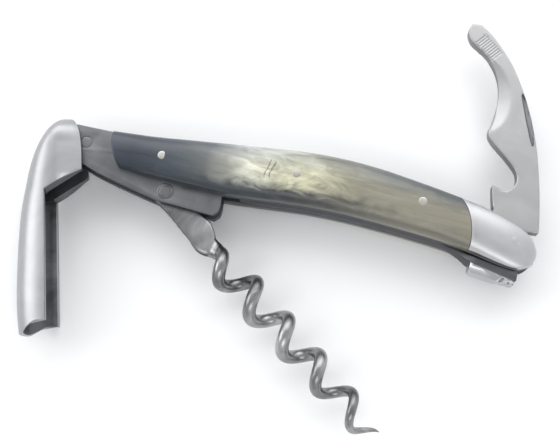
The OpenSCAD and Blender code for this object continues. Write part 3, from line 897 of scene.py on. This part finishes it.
def rounded_line(line, corner=32.0, step=0.5):
    """A closed line drawn smoothly through its points, apart from its real corners."""
    n = len(line)
    before, after = line - np.roll(line, 1, 0), np.roll(line, -1, 0) - line
    turn = np.degrees(np.abs(np.arctan2(before[:, 0] * after[:, 1] - before[:, 1] * after[:, 0],
                                        (before * after).sum(1))))
    corners = set(np.nonzero(turn > corner)[0])
    out = []
    for i in range(n):
        b, c = line[i], line[(i + 1) % n]
        a = b - (c - b) if i in corners else line[i - 1]
        d = c + (c - b) if (i + 1) % n in corners else line[(i + 2) % n]
        count = max(1, int(np.linalg.norm(c - b) / step))
        for k in range(count):
            t = k / count
            out.append(0.5 * (2 * b + (c - a) * t + (2 * a - 5 * b + 4 * c - d) * t * t
                              + (3 * b - a - 3 * c + d) * t**3))
    return np.array(out)


def edge_distance(points, line):
    """Distance of each point to a closed line."""
    best = np.full(len(points), 1e9)
    for start, run in zip(line, np.roll(line, -1, 0) - line):
        squared = run @ run
        if squared > 1e-18:
            t = np.clip((points - start) @ run / squared, 0, 1)
            best = np.minimum(best, np.linalg.norm(points - start - t[:, None] * run, axis=1))
    return best


def rim_distance(points, rims):
    """Distance of each point to the nearest of several closed lines."""
    return np.min([edge_distance(points, line) for line in rims], axis=0)


def inside(points, line):
    """Whether each point lies inside a closed line."""
    x, y = points[:, 0], points[:, 1]
    odd = np.zeros(len(points), bool)
    for (x0, y0), (x1, y1) in zip(line, np.roll(line, -1, 0)):
        if y0 != y1:
            odd ^= ((y0 > y) != (y1 > y)) & (x < (x1 - x0) * (y - y0) / (y1 - y0) + x0)
    return odd


RIM_ROWS = (0.05, 0.12, 0.22, 0.36)     # rows of points along a rim, to round its edge


def relief_plate(outline, holes, half_t, spacing, fine):
    """A plate whose two faces follow half_t(points, distance from the rim). Its points lie in
    a grid, closer in the fine boxes (low corner, high corner, step), and in rows at its rims."""
    low, high = outline.min(0), outline.max(0)
    xs, ys = np.arange(low[0], high[0], spacing), np.arange(low[1], high[1], spacing * 0.866)
    gx, gy = np.meshgrid(xs, ys)
    gx[1::2] += spacing / 2
    grid = np.column_stack([gx.ravel(), gy.ravel()])
    for (x0, y0), (x1, y1), step in fine:
        fx, fy = np.meshgrid(np.arange(x0, x1, step), np.arange(y0, y1, step))
        keep = ~((grid[:, 0] > x0) & (grid[:, 0] < x1) & (grid[:, 1] > y0) & (grid[:, 1] < y1))
        grid = np.vstack([grid[keep], np.column_stack([fx.ravel(), fy.ravel()])])
    rims = [outline] + list(holes)
    insets = []
    for line in rims:
        run = np.roll(line, -1, 0) - np.roll(line, 1, 0)
        normal = np.column_stack([-run[:, 1], run[:, 0]]) / np.linalg.norm(run, axis=1)[:, None]
        probe = inside(line + normal * 0.05, outline)
        if probe.mean() < 0.5:
            normal = -normal
        if line is not outline:
            centre = line.mean(0)
            normal = (line - centre) / np.linalg.norm(line - centre, axis=1)[:, None]
        insets += [line + normal * s for s in RIM_ROWS]
    grid = grid[inside(grid, outline)]
    for line in holes:
        grid = grid[~inside(grid, line)]
    grid = grid[rim_distance(grid, rims) > RIM_ROWS[-1] + spacing * 0.3]
    rings = np.vstack(insets)
    rings = rings[inside(rings, outline)]
    rings = rings[rim_distance(rings, rims) > 0.9 * RIM_ROWS[0]]
    rim_points = np.vstack(rims)
    points = np.vstack([rim_points, rings, grid])
    edges, start = [], 0
    for line in rims:
        edges += [(start + k, start + (k + 1) % len(line)) for k in range(len(line))]
        start += len(line)
    verts, _, faces, *_ = geometry.delaunay_2d_cdt([Vector(p) for p in points], edges, [], 0, 1e-5)
    flat = np.array([tuple(v) for v in verts])
    centres = np.array([flat[list(f)].mean(0) for f in faces])
    keep = inside(centres, outline)
    for line in holes:
        keep &= ~inside(centres, line)
    faces = [list(f) for f, k in zip(faces, keep) if k]
    height = half_t(flat, rim_distance(flat, rims))
    size = len(flat)
    solid = faces + [[k + size for k in f[::-1]] for f in faces]
    sides = dict.fromkeys((a, b) for f in faces for a, b in zip(f, f[1:] + f[:1]))
    solid += [[b, a, a + size, b + size] for a, b in sides if (b, a) not in sides]
    used = sorted({k for f in solid for k in f})
    points = np.vstack([np.column_stack([flat, MID_Z + side * height]) for side in (1, -1)])
    index = {k: i for i, k in enumerate(used)}
    return points[used], [[index[k] for k in f] for f in solid]


# Where the ground edge begins, and points beyond the edge that close its zone
GRIND_LINE = [(36.0, 47.6), (40.6, 44.9), (44.1, 42.1), (46.6, 38.6), (47.9, 34.6), (48.0, 31.0),
              (47.2, 28.0), (45.6, 25.6), (44.3, 24.8)]
EDGE_SIDE = [(42.0, 22.0), (40.0, 30.0), (40.0, 38.0), (36.0, 44.0), (33.0, 47.0)]
GRIND_FALL = 0.36               # slope of the ground edge
EDGE_HALF = 0.28                # half the thickness it keeps
TEETH = [(35.7, 47.6), (41.3, 43.3)]    # the row of teeth starts and ends here
TOOTH_COUNT = 10
TOOTH_DEPTH = 0.17
NICK_HALF, NICK_DEPTH = 0.72, 0.5
NICK = [(50.5, 36.6), (52.0, 33.4), (53.3, 30.0), (54.6, 26.6), (55.6, 23.2)]


def blade():
    loops = flat_loops("blade")
    outline = rounded_line(loops[0])
    hole = rounded_line(loops[1], corner=60)
    full = (HIGH["blade"][2] - LOW["blade"][2]) / 2
    grind_line = smooth(GRIND_LINE)
    zone = np.vstack([grind_line, EDGE_SIDE])
    nick = smooth(NICK)

    def half_t(points, distance):
        rounding = 0.3
        rim = np.clip(1 - distance / rounding, 0, 1)
        t = full - rounding * (1 - np.sqrt(1 - rim**2)) * 0.9
        ground = inside(points, zone)
        fall = edge_distance(points[ground], grind_line)
        t[ground] = np.minimum(t[ground], full - GRIND_FALL * fall)
        t[ground] = np.maximum(t[ground], EDGE_HALF)
        start, finish = np.array(TEETH)
        run = finish - start
        reach = np.linalg.norm(run)
        along = (points - start) @ run / reach
        off = (points - start) @ np.array([-run[1], run[0]]) / reach
        teeth = (along > 0) & (along < reach) & (np.abs(off) < 4)
        wave = 0.5 - 0.5 * np.cos(2 * math.pi * along / (reach / TOOTH_COUNT))
        ends = ramp(along, 0, 0.4) * (1 - ramp(along, reach - 0.8, reach))
        cut = TOOTH_DEPTH * wave * (1 - ramp(distance, 2.4, 3.1)) * ends
        t = np.where(teeth, np.maximum(t - cut, 0.25), t)
        d = edge_distance(points, np.vstack([nick, nick[::-1]]))
        along = (points[:, 1] - NICK[-1][1]) / (NICK[0][1] - NICK[-1][1])
        bow = NICK_HALF * np.sqrt(np.clip(4 * along * (1 - along), 0, 1))
        depth = np.clip(1 - d / np.maximum(bow, 1e-3), 0, 1)
        t -= NICK_DEPTH * np.where(bow > 0.02, np.minimum(1.0, depth * 2.2), 0)
        return t

    fine = [((34.4, 42.6), (43.2, 50.2), 0.125), ((49.8, 22.6), (56.4, 37.2), 0.2)]
    verts, faces = relief_plate(outline, [hole], half_t, 0.55, fine)
    mesh = new_mesh("blade", verts, faces)
    tidy(mesh, sharp=36)
    nick_zone = np.vstack([nick + [0.9, 0.3], nick[::-1] - [0.9, 0.3]])

    # Painted shade: the nick's hollow, and partly the upright sides, take the darker blade material.
    def dark(centre, normal):
        in_nick = inside(centre[None, :2], nick_zone)[0] and abs(centre[2] - MID_Z) < full - 0.06
        return abs(normal[2]) < 0.25 or in_nick

    place("blade_ground", mesh, BLADE_STEEL, "blade", "blade_steel", "blade",
          inner=BLADE_SIDES_AND_SHADE, is_inner=dark)


blade()


# ---- Camera, floor and light -----------------------------
EYE_AT = Vector((0.01715, -0.06568, 0.2320))
AIM_AT = Vector((-0.00224, -0.00906, 0.0))
ROLL = -4.815                   # the photo's tilt, in degrees


def camera():
    """A long lens over the tool's near side, as in the photo."""
    data = bpy.data.cameras.new("camera")
    data.lens, data.sensor_width = 59.4, 36.0
    data.clip_start, data.clip_end = 0.01, 10.0
    data.dof.use_dof = False
    eye = bpy.data.objects.new("camera", data)
    eye.location = EYE_AT
    upright = (AIM_AT - EYE_AT).to_track_quat("-Z", "Y")
    eye.rotation_euler = (upright @ Quaternion((0, 0, 1), math.radians(ROLL))).to_euler()
    bpy.context.scene.collection.objects.link(eye)
    bpy.context.scene.camera = eye


def floor():
    f = Finish("pale_floor", Roughness=0.55)
    f.shader.inputs["Specular IOR Level"].default_value = 0.25
    cloud = f.noise((0.01, 0.01, 0.01), detail=2.0)
    f.color(f.mix(cloud, (0.94, 0.942, 0.95), (0.975, 0.975, 0.98)))
    half = 1.5
    corners = [(-half, -half, 0), (half, -half, 0), (half, half, 0), (-half, half, 0)]
    mesh = bpy.data.meshes.new("table_top")
    mesh.from_pydata(corners, [], [(0, 1, 2, 3)])
    mesh.materials.append(f.material)
    table = bpy.data.objects.new("table_top", mesh)
    bpy.context.scene.collection.objects.link(table)


def lamp(name, at, width, height, power):
    """A soft window at a place, facing the tool."""
    data = bpy.data.lights.new(name, "AREA")
    data.shape, data.size, data.size_y = "RECTANGLE", width, height
    data.energy = power
    lamp_object = bpy.data.objects.new(name, data)
    lamp_object.location = at
    lamp_object.rotation_euler = (-Vector(at)).to_track_quat("-Z", "Y").to_euler()
    bpy.context.scene.collection.objects.link(lamp_object)


def lights():
    """A pale room: bright walls, brightest at the back, a dimmer ceiling and three soft windows."""
    world = bpy.data.worlds.new("studio")
    bpy.context.scene.world = world
    world.use_nodes = True
    nodes, links = world.node_tree.nodes, world.node_tree.links
    place_node = nodes.new("ShaderNodeTexCoord")
    split = nodes.new("ShaderNodeSeparateXYZ")
    fade = nodes.new("ShaderNodeMapRange")
    behind = nodes.new("ShaderNodeMath")
    links.new(place_node.outputs["Generated"], split.inputs[0])
    links.new(split.outputs["Z"], fade.inputs["Value"])
    fade.inputs["From Min"].default_value, fade.inputs["From Max"].default_value = 0.45, 0.95
    fade.inputs["To Min"].default_value, fade.inputs["To Max"].default_value = 0.9, 0.62
    behind.operation = "MULTIPLY_ADD"
    behind.inputs[1].default_value = 0.22
    links.new(split.outputs["Y"], behind.inputs[0])
    links.new(fade.outputs[0], behind.inputs[2])
    links.new(behind.outputs[0], nodes["Background"].inputs["Strength"])
    nodes["Background"].inputs["Color"].default_value = (0.97, 0.985, 1.0, 1)
    lamp("back_window", (-0.35, 1.2, 1.25), 2.4, 1.2, 14.0)
    lamp("left_window", (-1.0, -0.05, 0.6), 0.7, 0.6, 3.2)
    lamp("front_window", (0.35, -0.95, 1.1), 1.0, 0.6, 4.0)


bpy.context.scene.view_settings.view_transform = "Standard"
camera()
floor()
lights()
